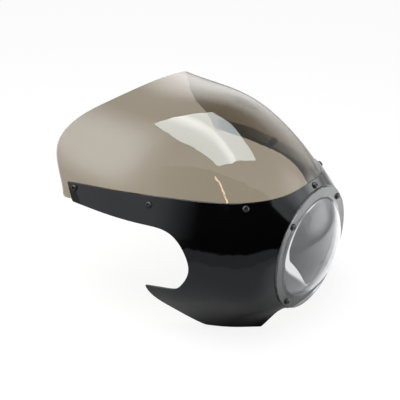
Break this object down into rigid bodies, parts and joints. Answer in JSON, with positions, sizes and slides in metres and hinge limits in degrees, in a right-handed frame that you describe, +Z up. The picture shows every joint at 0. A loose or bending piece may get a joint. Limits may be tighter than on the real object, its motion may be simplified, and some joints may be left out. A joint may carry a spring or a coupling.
{
  "type": "motorbike headlight cowl",
  "caption": "Moulded gloss-black headlight cowl with fork notches and rear arms, a smoked bubble windscreen inside its top edge and a clear domed lens cover over the lamp opening.",
  "frame": {"origin": "centre of the lamp opening, in the plane where the lens cover's flange seats on the shell", "axes": "+X forward along the lamp axis, +Y to the rider's left, +Z up"},
  "size_m": [0.4155, 0.4042, 0.3468],
  "materials": {
    "gloss_black": "gloss black moulding",
    "smoked_clear": "smoked acrylic",
    "clear": "clear acrylic",
    "black_steel": "black oxide"
  },
  "bodies": {
    "root": {"cowl_body": "gloss_black", "windscreen": "smoked_clear", "headlight_lens": "clear", "windscreen_screws": "black_steel", "windscreen_washers": "black_steel", "windscreen_nuts": "black_steel", "lens_screws": "black_steel", "lens_washers": "black_steel", "lens_nuts": "black_steel"}
  },
  "joints": []
}
